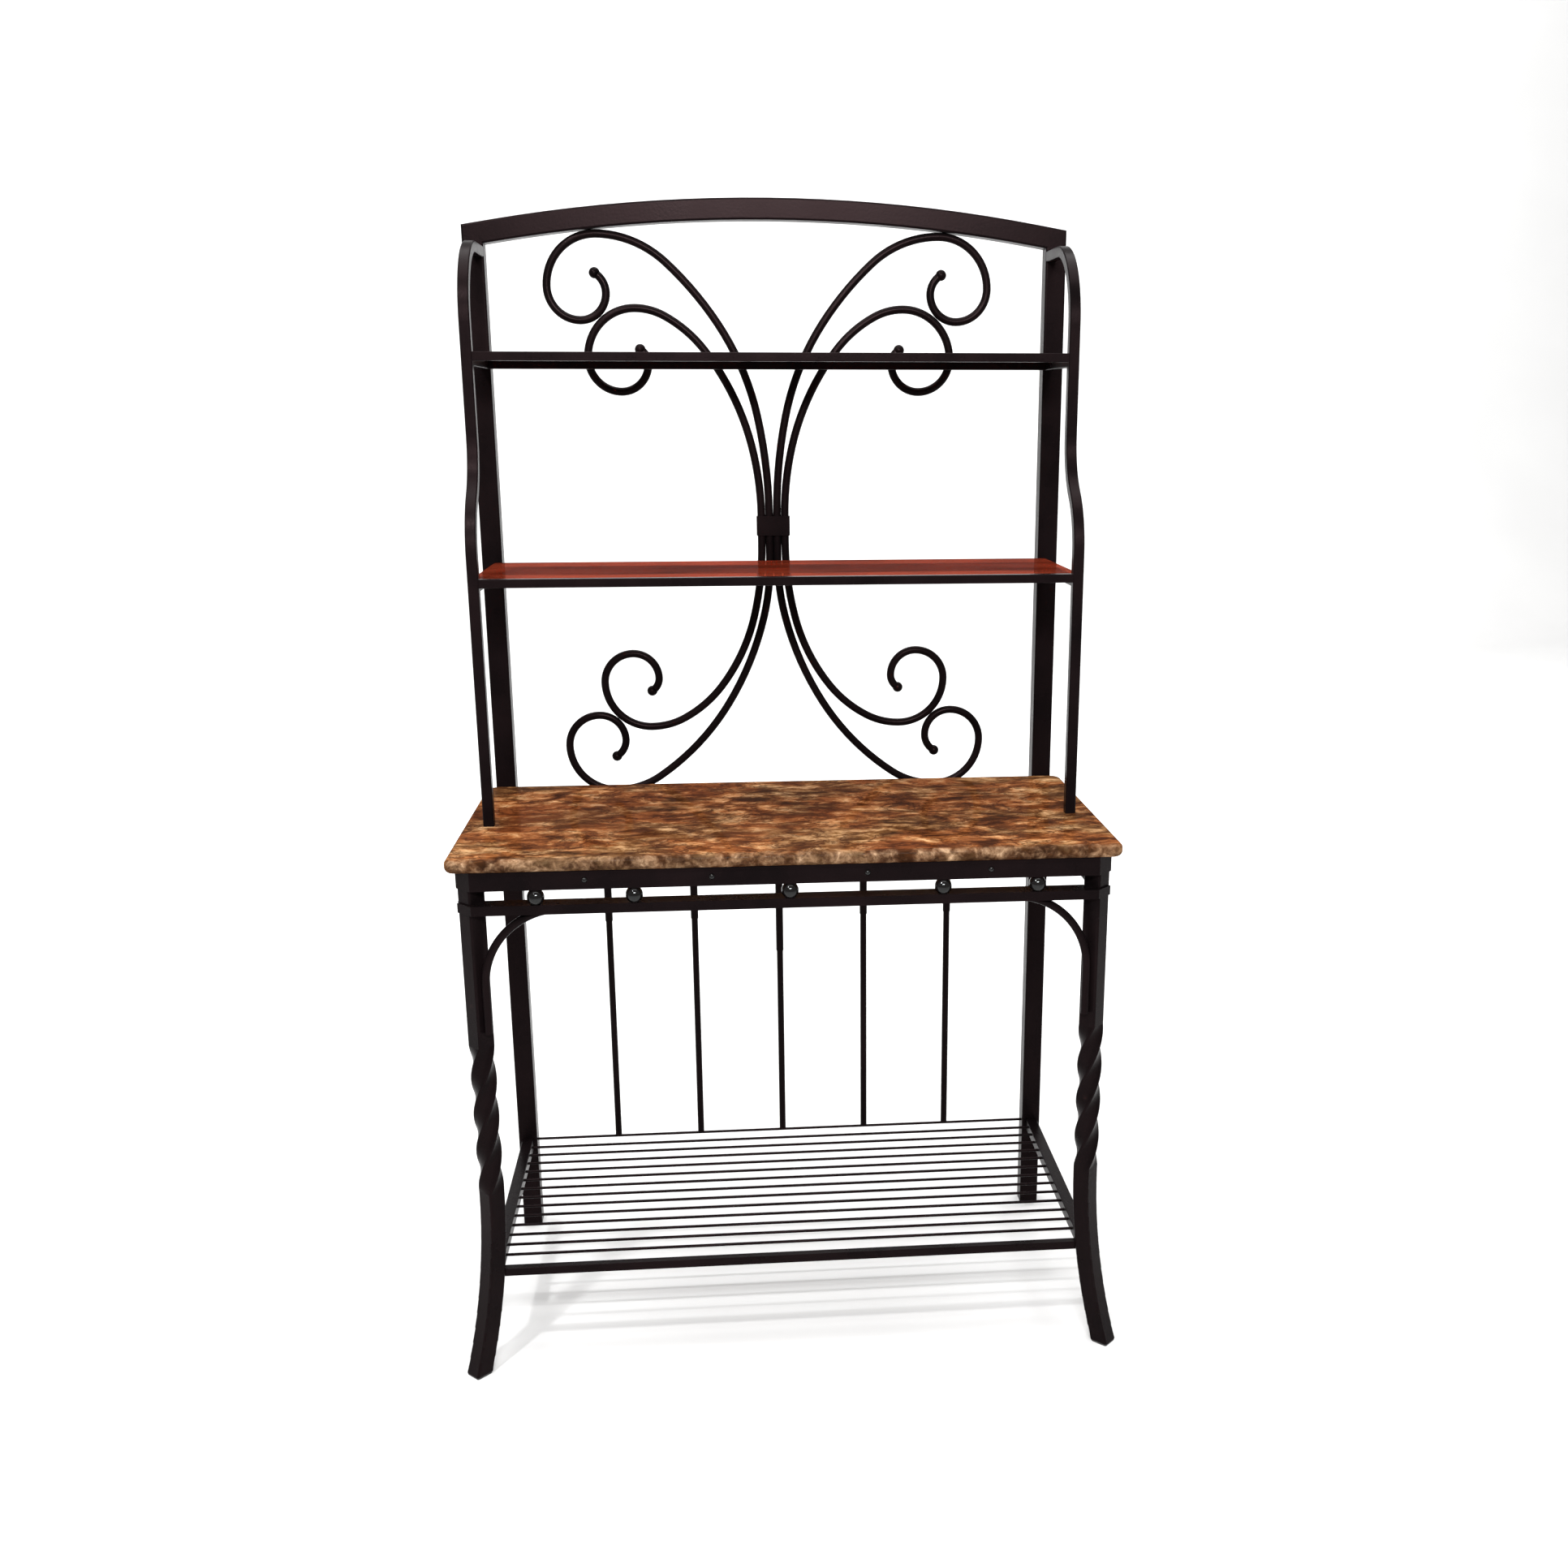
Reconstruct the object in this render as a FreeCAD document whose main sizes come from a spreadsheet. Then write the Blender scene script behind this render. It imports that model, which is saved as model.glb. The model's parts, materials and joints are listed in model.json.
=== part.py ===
import FreeCAD, Part
import math
import os
import Sketcher

# Bakers rack: a steel frame with two square rear posts joined by an arched top rail, two twisted
# front legs with flared feet, a stone worktop, two glass shelves between slim bent front tubes, a
# scrolled back panel and a wire lower shelf. Millimetres, +Z up, X across the width, the user at -Y.
# The origin is on the floor, under the middle of the rack.

Vector = FreeCAD.Vector
doc = FreeCAD.newDocument("BakersRack")

DIMENSIONS = [
    # rear frame
    ("post_size", 32, "side of the square rear post tube"),
    ("post_x", 451.5, "centre of a rear post from the middle"),
    ("back_plane", 222.4, "Y of the rear posts' front faces"),
    ("shoulder_z", 1685, "outer top corner of the arched rail"),
    ("apex_z", 1728, "top of the arched rail"),
    ("arch_turn", 9.6, "degrees from the apex of the rail to its straight ends"),
    ("arch_end", 96, "straight length of the rail before it is mitred"),
    ("tube_round", 3, "corner radius of the square tubes"),
    # worktop
    ("marble_width", 965, "stone top, side to side"),
    ("marble_depth", 461.5, "stone top, front to back"),
    ("marble_thick", 20, "stone thickness"),
    ("marble_top_z", 810, "working height"),
    ("marble_corner", 16, "plan radius of the front corners"),
    ("marble_back_corner", 20, "plan radius of the back corners"),
    ("marble_nose", 8, "radius of the rounded edge"),
    # apron under the worktop: an angle iron with clipped corners
    ("apron_height", 28, "height of the apron's face"),
    ("apron_wall", 3, "thickness of the angle iron"),
    ("apron_flange", 22, "width of the flange that carries the stone"),
    ("apron_front_depth", 453, "apron face, forward of the back plane"),
    ("apron_side_x", 471, "outer face of the side aprons"),
    ("corner_clip", 21.9, "size of the clipped corner"),
    ("hole_size", 5.4, "clearance holes for the screws"),
    # lower rails: a smaller angle iron that repeats the apron's outline, with balls on its flange
    ("ring_top_z", 740, "top of the lower rails"),
    ("ring_height", 14, "height of the lower rails' face"),
    ("ring_depth", 13.5, "width of the flange that carries the balls"),
    ("ball_size", 25, "diameter of the balls between the rails"),
    ("ball_inner_x", 221, "second and fourth ball from the middle"),
    ("ball_outer_x", 359, "first and fifth ball from the middle"),
    ("ball_end_gap", 45, "first and last ball of a side, from the leg's axis and from the post"),
    # front legs
    ("leg_size", 28, "side of the square leg tube"),
    ("leg_x", 451, "leg axis from the middle"),
    ("leg_depth", 427, "leg axis, forward of the back plane"),
    ("twist_low_z", 290, "lower end of the twisted length"),
    ("twist_high_z", 522, "upper end of the twisted length"),
    ("flare_start_z", 280, "where the foot starts to curve out"),
    ("flare_radius", 900, "radius of the curve of the foot"),
    # bent braces
    ("brace_size", 12, "diameter of the brace rod"),
    ("brace_bend", 112, "radius of the brace bend"),
    ("brace_low_z", 545, "lower end of a brace"),
    ("brace_end", 8, "straight upper end of a brace"),
    ("brace_play", 1, "from a side brace to the face of the side rail"),
    # slim front tubes of the upper part
    ("tube_size", 16, "side of the slim square tube"),
    ("tube_x", 443.5, "centre of a slim tube from the middle"),
    ("tube_low_depth", 264, "lower run, forward of the back plane"),
    ("tube_high_depth", 186, "upper run, forward of the back plane"),
    ("tube_bend", 110, "bend radius of the slim tubes"),
    ("slim_round", 1.5, "corner break of the slim tubes"),
    ("tube_step_z", 1290, "middle of the double bend"),
    ("tube_hook_z", 1646, "centre of the run that returns to the post"),
    # glass shelves
    ("rail_size", 12.7, "side of the square shelf rails"),
    ("middle_z", 1177, "top of the middle shelf"),
    ("high_z", 1494, "top of the top shelf"),
    ("glass_thick", 6, "glass thickness"),
    ("bumper_thick", 1, "thickness of the clear bumpers"),
    ("bumper_size", 9, "diameter of the clear bumpers"),
    ("bumper_inset", 1, "side bumpers, from the axis of the side rail"),
    ("bumper_front_share", 0.8, "depth of the side bumpers over the depth of the shelf"),
    ("bumper_back_share", 0.62, "place of the back bumpers over that of the tubes"),
    ("glass_edge", 0.5, "ground edge of the glass"),
    ("glass_gap", 1, "play between the glass and the frame"),
    ("glass_side_gap", 2.5, "from the glass edge to the outside of a side rail"),
    # scrolled back panel
    ("rod_size", 12.7, "diameter of the scroll rods"),
    ("rod_tip", 17, "diameter of the balls at the ends of the rods"),
    ("collar_low_z", 1216, "lower edge of the collar"),
    ("collar_high_z", 1247, "upper edge of the collar"),
    ("collar_wall", 1.5, "thickness of the collar strip"),
    # spindles
    ("spindle_size", 11, "diameter of a spindle"),
    ("spindle_pitch", 146.6, "spacing of the spindles"),
    ("socket_size", 13, "diameter of the socket that takes the top of a spindle"),
    ("socket_low_z", 565, "lower end of four of the sockets"),
    ("long_socket_low_z", 502, "lower end of the middle socket"),
    # lower shelf
    ("shelf_bar", 12.7, "side of the lower shelf's bent square bar"),
    ("bar_round", 1, "edge break of the bent square bar"),
    ("shelf_top_z", 158.5, "top of the bent bar"),
    ("shelf_side_x", 448, "axis of the side runs"),
    ("shelf_front_depth", 423, "axis of the front run, forward of the back plane"),
    ("shelf_corner", 17.9, "bend radius at the front corners"),
    ("wire_size", 4.5, "diameter of a shelf wire"),
    ("wire_over", 2, "from the axis of a side run to the end of a wire"),
    ("wire_count", 13, "number of shelf wires"),
    ("wire_first", 19, "first wire, forward of the back plane"),
    ("wire_pitch", 31, "spacing of the wires"),
    # small parts
    ("screw_head", 9, "diameter of the domed screw heads"),
    ("screw_rise", 3, "height of the domed screw heads"),
    ("screw_shank", 5, "diameter of the screw shanks"),
    ("screw_length", 12, "length of a screw under its head"),
    ("screw_inner_x", 111, "inner screws from the middle"),
    ("screw_outer_x", 289.5, "outer screws from the middle"),
    ("glide_thick", 3, "thickness of the plastic glides under the feet"),
    ("glide_inset", 0.5, "from the face of a tube to the edge of its glide"),
]

# How each scroll rod runs from the collar to its tip: pairs of bend radius and turn in degrees,
# always turning outwards. A straight length leads out of the collar where one is named.
OUTER_HIGH = [(735, 12), (402, 22), (490, 14), (159, 42), (77.5, 90), (49.5, 90), (41, 90), (33.5, 60)]
INNER_HIGH = [(460, 14), (388, 24), (193, 24), (98, 28), (75, 90), (50.5, 90), (43, 90), (24, 60)]
OUTER_LOW = [(376, 14), (497, 18), (408, 24), (129, 34), (76.4, 90), (50.8, 90), (42.3, 90), (31.6, 60)]
INNER_LOW = [(486, 14), (307, 24), (198, 24), (116, 28), (75, 90), (47.5, 90), (41.5, 90), (24, 60)]
INNER_LOW_LEAD = 14.1

SIDES = (("left", -1), ("right", 1))
pieces = []


def make_sheet():
    sheet = doc.addObject("Spreadsheet::Sheet", "Dims")
    for row, (alias, value, note) in enumerate(DIMENSIONS, start=1):
        sheet.set(f"A{row}", alias)
        sheet.set(f"B{row}", str(value))
        sheet.set(f"C{row}", note)
        sheet.setAlias(f"B{row}", alias)
    doc.recompute()
    return sheet


dims = make_sheet()


def size(alias):
    return float(dims.get(alias))


def bound(expression):
    """Write the sheet's name before every alias used in an expression."""
    words = sorted((alias for alias, _, _ in DIMENSIONS), key=len, reverse=True)
    text = expression
    for number, alias in enumerate(words):
        text = text.replace(alias, f"<{number}>")
    for number, alias in enumerate(words):
        text = text.replace(f"<{number}>", f"Dims.{alias}")
    return text


def value_of(expression):
    return float(dims.evalExpression(bound(expression)))


def place(piece, x="0", y="0", z="0"):
    for axis, expression in (("x", x), ("y", y), ("z", z)):
        piece.setExpression(f"Placement.Base.{axis}", bound(expression))


def keep(piece, label):
    piece.Label = label
    pieces.append(piece)
    return piece


# ---- sketched bodies -------------------------------------------------------------------------

def new_body(label):
    return keep(doc.addObject("PartDesign::Body", "Body_" + label), label)


def new_sketch(body, role):
    sketch = body.newObject("Sketcher::SketchObject", "Outline")
    plane = [item for item in body.Origin.OriginFeatures if item.Role == role][0]
    sketch.AttachmentSupport = [(plane, "")]
    sketch.MapMode = "FlatFace"
    return sketch


def drive(sketch, name, expression, *constraint):
    """Add a constraint whose value is an expression of the sheet's dimensions."""
    number = sketch.addConstraint(Sketcher.Constraint(*constraint, value_of(expression)))
    sketch.renameConstraint(number, name)
    sketch.setExpression(f"Constraints.{name}", bound(expression))


def outline(body, role, points):
    """A closed polygon whose corners sit at coordinates given as expressions."""
    sketch = new_sketch(body, role)
    corners = [Vector(value_of(x), value_of(y), 0) for x, y in points]
    count = len(corners)
    for side in range(count):
        sketch.addGeometry(Part.LineSegment(corners[side], corners[(side + 1) % count]), False)
    for side in range(count):
        sketch.addConstraint(Sketcher.Constraint("Coincident", side, 2, (side + 1) % count, 1))
    for side, (x, y) in enumerate(points):
        drive(sketch, f"x_{side}", x, "DistanceX", side, 1)
        drive(sketch, f"y_{side}", y, "DistanceY", side, 1)
    return sketch


def circles(body, role, spots, diameter):
    """Circles of one size about spots given as expressions."""
    sketch = new_sketch(body, role)
    for number, (x, y) in enumerate(spots):
        middle = Vector(value_of(x), value_of(y), 0)
        sketch.addGeometry(Part.Circle(middle, Vector(0, 0, 1), value_of(diameter) / 2), False)
        drive(sketch, f"x_{number}", x, "DistanceX", number, 3)
        drive(sketch, f"y_{number}", y, "DistanceY", number, 3)
        drive(sketch, f"size_{number}", diameter, "Diameter", number)
    return sketch


def pad(body, sketch, length, middle=False, reverse=False):
    feature = body.newObject("PartDesign::Pad", "Pad")
    feature.Profile = sketch
    feature.setExpression("Length", bound(length))
    feature.Midplane = middle
    feature.Reversed = reverse
    doc.recompute()
    return feature


def cut_through(body, sketch, reverse):
    """Cut a sketch right through a body, and make sure that the cut meets it."""
    before = body.Shape.Volume
    pocket = body.newObject("PartDesign::Pocket", "Opening")
    pocket.Profile = sketch
    pocket.Type = "ThroughAll"
    pocket.Reversed = reverse
    doc.recompute()
    if body.Shape.Volume > before - 1:
        raise RuntimeError(f"the opening in {body.Label} cut nothing")


def edges_along(shape, direction):
    """Names of the straight edges that run along a direction."""
    names = []
    for number, edge in enumerate(shape.Edges, start=1):
        if edge.Curve.TypeId != "Part::GeomLine":
            continue
        run = (edge.Vertexes[-1].Point - edge.Vertexes[0].Point).normalize()
        if abs(run.dot(direction)) > 0.999:
            names.append(f"Edge{number}")
    return names


def round_edges(body, feature, names, radius):
    fillet = body.newObject("PartDesign::Fillet", "Round")
    fillet.Base = (feature, names)
    fillet.setExpression("Radius", bound(radius))
    doc.recompute()
    return fillet


def rectangle(width, height):
    """Corner expressions of a rectangle about the sketch's origin."""
    return [(f"-({width}) / 2", f"-({height}) / 2"), (f"({width}) / 2", f"-({height}) / 2"),
            (f"({width}) / 2", f"({height}) / 2"), (f"-({width}) / 2", f"({height}) / 2")]


def square_bar(label, axis, width, height, length, radius="1"):
    """A bar along X, Y or Z, centred on its axis, with its four long edges rounded."""
    role, direction = {"x": ("YZ_Plane", Vector(1, 0, 0)),
                       "y": ("XZ_Plane", Vector(0, 1, 0)),
                       "z": ("XY_Plane", Vector(0, 0, 1))}[axis]
    body = new_body(label)
    block = pad(body, outline(body, role, rectangle(width, height)), length, middle=True)
    round_edges(body, block, edges_along(block.Shape, direction), radius)
    return body


# ---- bent rods and tubes ---------------------------------------------------------------------

def square_section(width, radius, spin=0.0):
    """A rounded square wire in the XY plane about the origin, turned by spin degrees."""
    half = width / 2
    flat = half - radius
    diagonal = flat + radius / math.sqrt(2)
    edges = []
    for quarter in range(4):
        angle = quarter * 90 + spin
        turn = FreeCAD.Rotation(Vector(0, 0, 1), angle)
        side = [turn.multVec(Vector(half, -flat, 0)), turn.multVec(Vector(half, flat, 0))]
        bend = [turn.multVec(Vector(diagonal, diagonal, 0)), turn.multVec(Vector(flat, half, 0))]
        edges.append(Part.LineSegment(*side).toShape())
        edges.append(Part.Arc(side[1], *bend).toShape())
    return Part.Wire(edges)


def bent_bar(face, point, heading, runs):
    """A bar of one section with straight runs and bends, from a face at point, and where it ends.

    A run is ("straight", length) or ("bend", radius, degrees, direction to bend towards)."""
    solids = []
    for run in runs:
        if run[0] == "straight":
            step = heading * run[1]
            solids.append(face.extrude(step))
            face = face.copy()
            face.translate(step)
            point = point + step
        else:
            radius, degrees, towards = run[1:]
            centre = point + towards * radius
            axis = heading.cross(towards)
            solids.append(face.revolve(centre, axis, degrees))
            face = face.copy()
            face.rotate(centre, axis, degrees)
            turn = FreeCAD.Rotation(axis, degrees)
            point = centre + turn.multVec(point - centre)
            heading = turn.multVec(heading)
    return (solids[0].fuse(solids[1:]) if len(solids) > 1 else solids[0]), point


def disc(point, heading, radius):
    return Part.Face(Part.Wire([Part.Circle(point, heading, radius).toShape()]))


def bent_rod(radius, point, heading, runs):
    return bent_bar(disc(point, heading, radius), point, heading, runs)


def chamfered_section(width, chamfer):
    """A square wire with cut corners in the XY plane about the origin."""
    half = width / 2
    flat = half - chamfer
    points = []
    for quarter in range(4):
        turn = FreeCAD.Rotation(Vector(0, 0, 1), quarter * 90)
        points += [turn.multVec(Vector(half, -flat, 0)), turn.multVec(Vector(half, flat, 0))]
    return Part.makePolygon(points + points[:1])


def shaped(label, shape):
    feature = doc.addObject("Part::Feature", "Shape_" + label)
    feature.Shape = shape
    return keep(feature, label)


def mirrored(shape):
    return shape.mirror(Vector(0, 0, 0), Vector(1, 0, 0))


def both_sides(label, left_shape):
    """The piece at -X as it is, and its mirror image at +X."""
    shaped(label + "_left", left_shape)
    shaped(label + "_right", mirrored(left_shape))


# ---- rear frame ------------------------------------------------------------------------------

POST_OUT = "(post_x + post_size / 2)"
POST_IN = "(post_x - post_size / 2)"
ARCH_RADIUS = f"(({POST_OUT} * tan(arch_turn) - apex_z + shoulder_z) / (1 / cos(arch_turn) - 1))"
MITRE_Z = (f"(apex_z - {ARCH_RADIUS} + ({ARCH_RADIUS} - post_size) / cos(arch_turn)"
           f" - {POST_IN} * tan(arch_turn))")


def rear_posts():
    """Square tubes whose tops are mitred to meet the arched rail."""
    for name, side in SIDES:
        body = new_body(f"rear_post_{name}")
        points = [(f"{side} * {POST_IN}", "glide_thick"), (f"{side} * {POST_OUT}", "glide_thick"),
                  (f"{side} * {POST_OUT}", "shoulder_z"), (f"{side} * {POST_IN}", MITRE_Z)]
        post = pad(body, outline(body, "XZ_Plane", points), "post_size", reverse=True)
        round_edges(body, post, edges_along(post.Shape, Vector(0, 0, 1)), "tube_round")
        place(body, y="back_plane")


def top_arch():
    """The arched top rail: a rolled square tube with straight ends, mitred to the posts."""
    radius = value_of(ARCH_RADIUS)
    middle = radius - size("post_size") / 2
    turn = size("arch_turn")
    lean = math.radians(turn)
    straight = size("arch_end")
    heading = Vector(math.cos(lean), 0, math.sin(lean))
    bend_start = Vector(-middle * math.sin(lean), 0, size("apex_z") - radius + middle * math.cos(lean))
    start = bend_start - heading * straight
    section = square_section(size("post_size"), size("tube_round"))
    section.rotate(Vector(0, 0, 0), Vector(0, 1, 0), 90 - turn)
    section.translate(start)
    towards = Vector(math.sin(lean), 0, -math.cos(lean))
    runs = [("straight", straight), ("bend", middle, 2 * turn, towards), ("straight", straight)]
    rail = bent_bar(Part.Face(section), start, heading, runs)[0]

    outer = Vector(-value_of(POST_OUT), 0, size("shoulder_z"))
    inner = Vector(-value_of(POST_IN), 0, value_of(MITRE_Z))
    slope = inner - outer
    corners = [outer - slope, inner + slope * 2, inner + slope * 2 - Vector(straight * 2, 0, 0),
               outer - slope - Vector(straight * 2, 0, 0)]
    waste = Part.Face(Part.makePolygon(corners + corners[:1])).extrude(Vector(0, 2 * size("post_size"), 0))
    waste.translate(Vector(0, -size("post_size"), 0))
    rail = rail.cut(waste).cut(mirrored(waste))
    rail.translate(Vector(0, size("back_plane") + size("post_size") / 2, 0))
    shaped("top_arch", rail)


# ---- front legs ------------------------------------------------------------------------------

def front_legs():
    """A square tube set on its corner: straight at the top, one full twist, then a flared foot."""
    low = size("twist_low_z")
    high = size("twist_high_z")
    top = size("marble_top_z") - size("marble_thick") - size("apron_wall")
    start = size("flare_start_z")
    radius = size("flare_radius")
    reach = 4 * size("leg_size")
    section = square_section(size("leg_size"), size("tube_round"), 45)

    def straight(bottom, length):
        run = Part.Face(section).extrude(Vector(0, 0, length))
        run.translate(Vector(0, 0, bottom))
        return run

    spine = Part.Wire(Part.makeLine(Vector(0, 0, 0), Vector(0, 0, high - low)))
    guide = Part.Wire(Part.makeHelix(high - low, high - low, size("leg_size")).Edges)
    shell = Part.BRepOffsetAPI.MakePipeShell(spine)
    shell.setAuxiliarySpine(guide, True, 0)
    shell.add(section, False, False)
    shell.build()
    shell.makeSolid()
    twist = shell.shape()
    twist.translate(Vector(0, 0, low))

    floor = Part.makeBox(2 * reach, 2 * reach, reach, Vector(-reach, -reach, size("glide_thick") - reach))
    turn = math.degrees(math.asin((start + size("leg_size")) / radius))
    for name, side in SIDES:
        outward = Vector(side, -1, 0).normalize()
        face = Part.Face(section)
        face.translate(Vector(0, 0, start))
        foot = bent_bar(face, Vector(0, 0, start), Vector(0, 0, -1), [("bend", radius, turn, outward)])[0]
        foot = foot.cut(floor)
        leg = straight(high, top - high).fuse([twist, straight(start, low - start), foot])
        leg.translate(Vector(side * size("leg_x"), size("back_plane") - size("leg_depth"), 0))
        shaped(f"front_leg_{name}", leg)


def foot_glides():
    """Thin plastic glides that close the open ends of the four tubes and meet the floor."""
    thick = size("glide_thick")
    inset = size("glide_inset")

    def pad_for(tube, spin):
        section = square_section(tube - 2 * inset, size("tube_round"), spin)
        return Part.Face(section).extrude(Vector(0, 0, thick))

    rear = pad_for(size("post_size"), 0)
    rear.translate(Vector(-size("post_x"), size("back_plane") + size("post_size") / 2, 0))
    both_sides("rear_glide", rear)

    radius = size("flare_radius")
    drop = size("flare_start_z") - thick / 2
    shift = radius - math.sqrt(radius * radius - drop * drop)
    outward = Vector(-1, -1, 0).normalize()
    front = pad_for(size("leg_size"), 45)
    front.translate(Vector(-size("leg_x"), size("back_plane") - size("leg_depth"), 0) + outward * shift)
    both_sides("front_glide", front)


# ---- worktop and its rails -------------------------------------------------------------------

def marble_top():
    """The stone slab, with rounded corners and a rolled edge all round."""
    body = new_body("marble_top")
    points = rectangle("marble_width", "marble_depth")
    slab = pad(body, outline(body, "XY_Plane", points), "marble_thick")

    def uprights(shape, side):
        return [name for name in edges_along(shape, Vector(0, 0, 1))
                if shape.getElement(name).CenterOfMass.y * side > 0]

    front = round_edges(body, slab, uprights(slab.Shape, -1), "marble_corner")
    corners = round_edges(body, front, uprights(front.Shape, 1), "marble_back_corner")
    rim = [f"Edge{number}" for number, edge in enumerate(corners.Shape.Edges, start=1)
           if edge.BoundBox.ZLength < 0.01]
    round_edges(body, corners, rim, "marble_nose")
    place(body, y="back_plane - marble_depth / 2", z="marble_top_z - marble_thick")


CLIP_X = "(apron_side_x - corner_clip)"
CLIP_Y = "(apron_front_depth - corner_clip)"
SIDE_END = f"({CLIP_Y} - apron_flange * tan(22.5))"
LEG_TIP = "(leg_size / sqrt(2))"
SCREW_SPOTS = ("-screw_outer_x", "-screw_inner_x", "screw_inner_x", "screw_outer_x")


def clipped_band(inset):
    """Plan of a band of that width across the front and round both clipped corners."""
    shift = f"({inset}) * tan(22.5)"
    front = f"(apron_front_depth - ({inset}))"
    side = f"(apron_side_x - ({inset}))"
    inner_x = f"({CLIP_X} - {shift})"
    inner_y = f"({CLIP_Y} - {shift})"
    return [(f"-{CLIP_X}", "-apron_front_depth"), (CLIP_X, "-apron_front_depth"),
            ("apron_side_x", f"-{CLIP_Y}"), (side, f"-{inner_y}"),
            (inner_x, f"-{front}"), (f"-{inner_x}", f"-{front}"),
            (f"-{side}", f"-{inner_y}"), ("-apron_side_x", f"-{CLIP_Y}")]


def apron_front():
    """Front angle iron, bent round both front corners, with clearance holes for its screws."""
    body = new_body("apron_front")
    pad(body, outline(body, "XY_Plane", clipped_band("apron_wall")), "apron_height", reverse=True)
    pad(body, outline(body, "XY_Plane", clipped_band("apron_flange")), "apron_wall", reverse=True)
    spots = [(x, "-apron_height / 2") for x in SCREW_SPOTS]
    cut_through(body, circles(body, "XZ_Plane", spots, "hole_size"), reverse=True)
    place(body, y="back_plane", z="marble_top_z - marble_thick")


def angle_profile(direction):
    """An L: a wall that hangs down and a flange that points inwards, from the outer top corner."""
    return [("0", "0"), ("0", "-apron_height"), (f"{direction} * apron_wall", "-apron_height"),
            (f"{direction} * apron_wall", "-apron_wall"), (f"{direction} * apron_flange", "-apron_wall"),
            (f"{direction} * apron_flange", "0")]


def side_and_back_aprons():
    for name, side in SIDES:
        body = new_body(f"apron_{name}")
        sketch = outline(body, "XZ_Plane", angle_profile(-side))
        pad(body, sketch, SIDE_END)
        place(body, x=f"{side} * apron_side_x", y="back_plane", z="marble_top_z - marble_thick")
    body = new_body("apron_back")
    rear = "(post_size + apron_wall) / 2"
    points = [(rear, "0"), ("-apron_flange", "0"), ("-apron_flange", "-apron_wall"),
              (f"{rear} - apron_wall", "-apron_wall"), (f"{rear} - apron_wall", "-apron_height"),
              (rear, "-apron_height")]
    pad(body, outline(body, "YZ_Plane", points), f"2 * {POST_IN}", middle=True)
    place(body, y="back_plane", z="marble_top_z - marble_thick")


def ring_rails():
    """The rail under the apron: its flange stops against the faces of the front legs."""
    z = "ring_top_z"
    front = "(apron_front_depth - ring_depth)"
    tip = f"(leg_depth + {LEG_TIP})"
    end = f"(leg_x - ({tip} - {front}))"
    lap = "apron_wall / 2"
    seam = f"-(apron_front_depth - {lap})"
    body = new_body("ring_front")
    pad(body, outline(body, "XY_Plane", clipped_band("apron_wall")), "ring_height", reverse=True)
    points = [(f"-({CLIP_X} - apron_wall)", seam), (f"{CLIP_X} - apron_wall", seam),
              ("leg_x", f"-({tip} + apron_wall / 3)"), ("leg_x", f"-{tip}"), (end, f"-{front}"),
              (f"-{end}", f"-{front}"), ("-leg_x", f"-{tip}"), ("-leg_x", f"-({tip} + apron_wall / 3)")]
    pad(body, outline(body, "XY_Plane", points), "apron_wall", reverse=True)
    place(body, y="back_plane", z=z)
    inner = "(apron_side_x - ring_depth)"
    for name, side in SIDES:
        body = new_body(f"ring_{name}")
        wall = [(f"{side} * apron_side_x", f"-{SIDE_END}"), (f"{side} * apron_side_x", "0"),
                (f"{side} * (apron_side_x - apron_wall)", "0"),
                (f"{side} * (apron_side_x - apron_wall)", f"-{SIDE_END}")]
        pad(body, outline(body, "XY_Plane", wall), "ring_height", reverse=True)
        flange = [(f"{side} * (apron_side_x - {lap})", "0"),
                  (f"{side} * (apron_side_x - {lap})", f"-{SIDE_END}"),
                  (f"{side} * (leg_x + {LEG_TIP} - leg_depth + {SIDE_END})", f"-{SIDE_END}"),
                  (f"{side} * {inner}", f"-(leg_depth - {LEG_TIP} + {inner} - leg_x)"),
                  (f"{side} * {inner}", "0")]
        pad(body, outline(body, "XY_Plane", flange), "apron_wall", reverse=True)
        place(body, y="back_plane", z=z)


def ring_balls():
    """Balls between the lower rails and the apron, each with a small flat on top and below."""
    top = size("marble_top_z") - size("marble_thick") - size("apron_height")
    bottom = size("ring_top_z")
    radius = size("ball_size") / 2
    slab = Part.makeBox(4 * radius, 4 * radius, top - bottom, Vector(-2 * radius, -2 * radius, bottom))
    ball = Part.makeSphere(radius, Vector(0, 0, (top + bottom) / 2)).common(slab)
    row = size("back_plane") - size("apron_front_depth") + size("ring_depth") / 2
    side_x = size("apron_side_x") - size("ring_depth") / 2
    gap = size("ball_end_gap")
    spots = [Vector(x, row, 0) for x in (-size("ball_outer_x"), -size("ball_inner_x"), 0,
                                         size("ball_inner_x"), size("ball_outer_x"))]
    for x in (-side_x, side_x):
        for depth in (size("leg_depth") - gap, size("leg_depth") / 2, gap):
            spots.append(Vector(x, size("back_plane") - depth, 0))
    balls = []
    for spot in spots:
        copy = ball.copy()
        copy.translate(spot)
        balls.append(copy)
    shaped("ring_balls", Part.Compound(balls))


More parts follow.
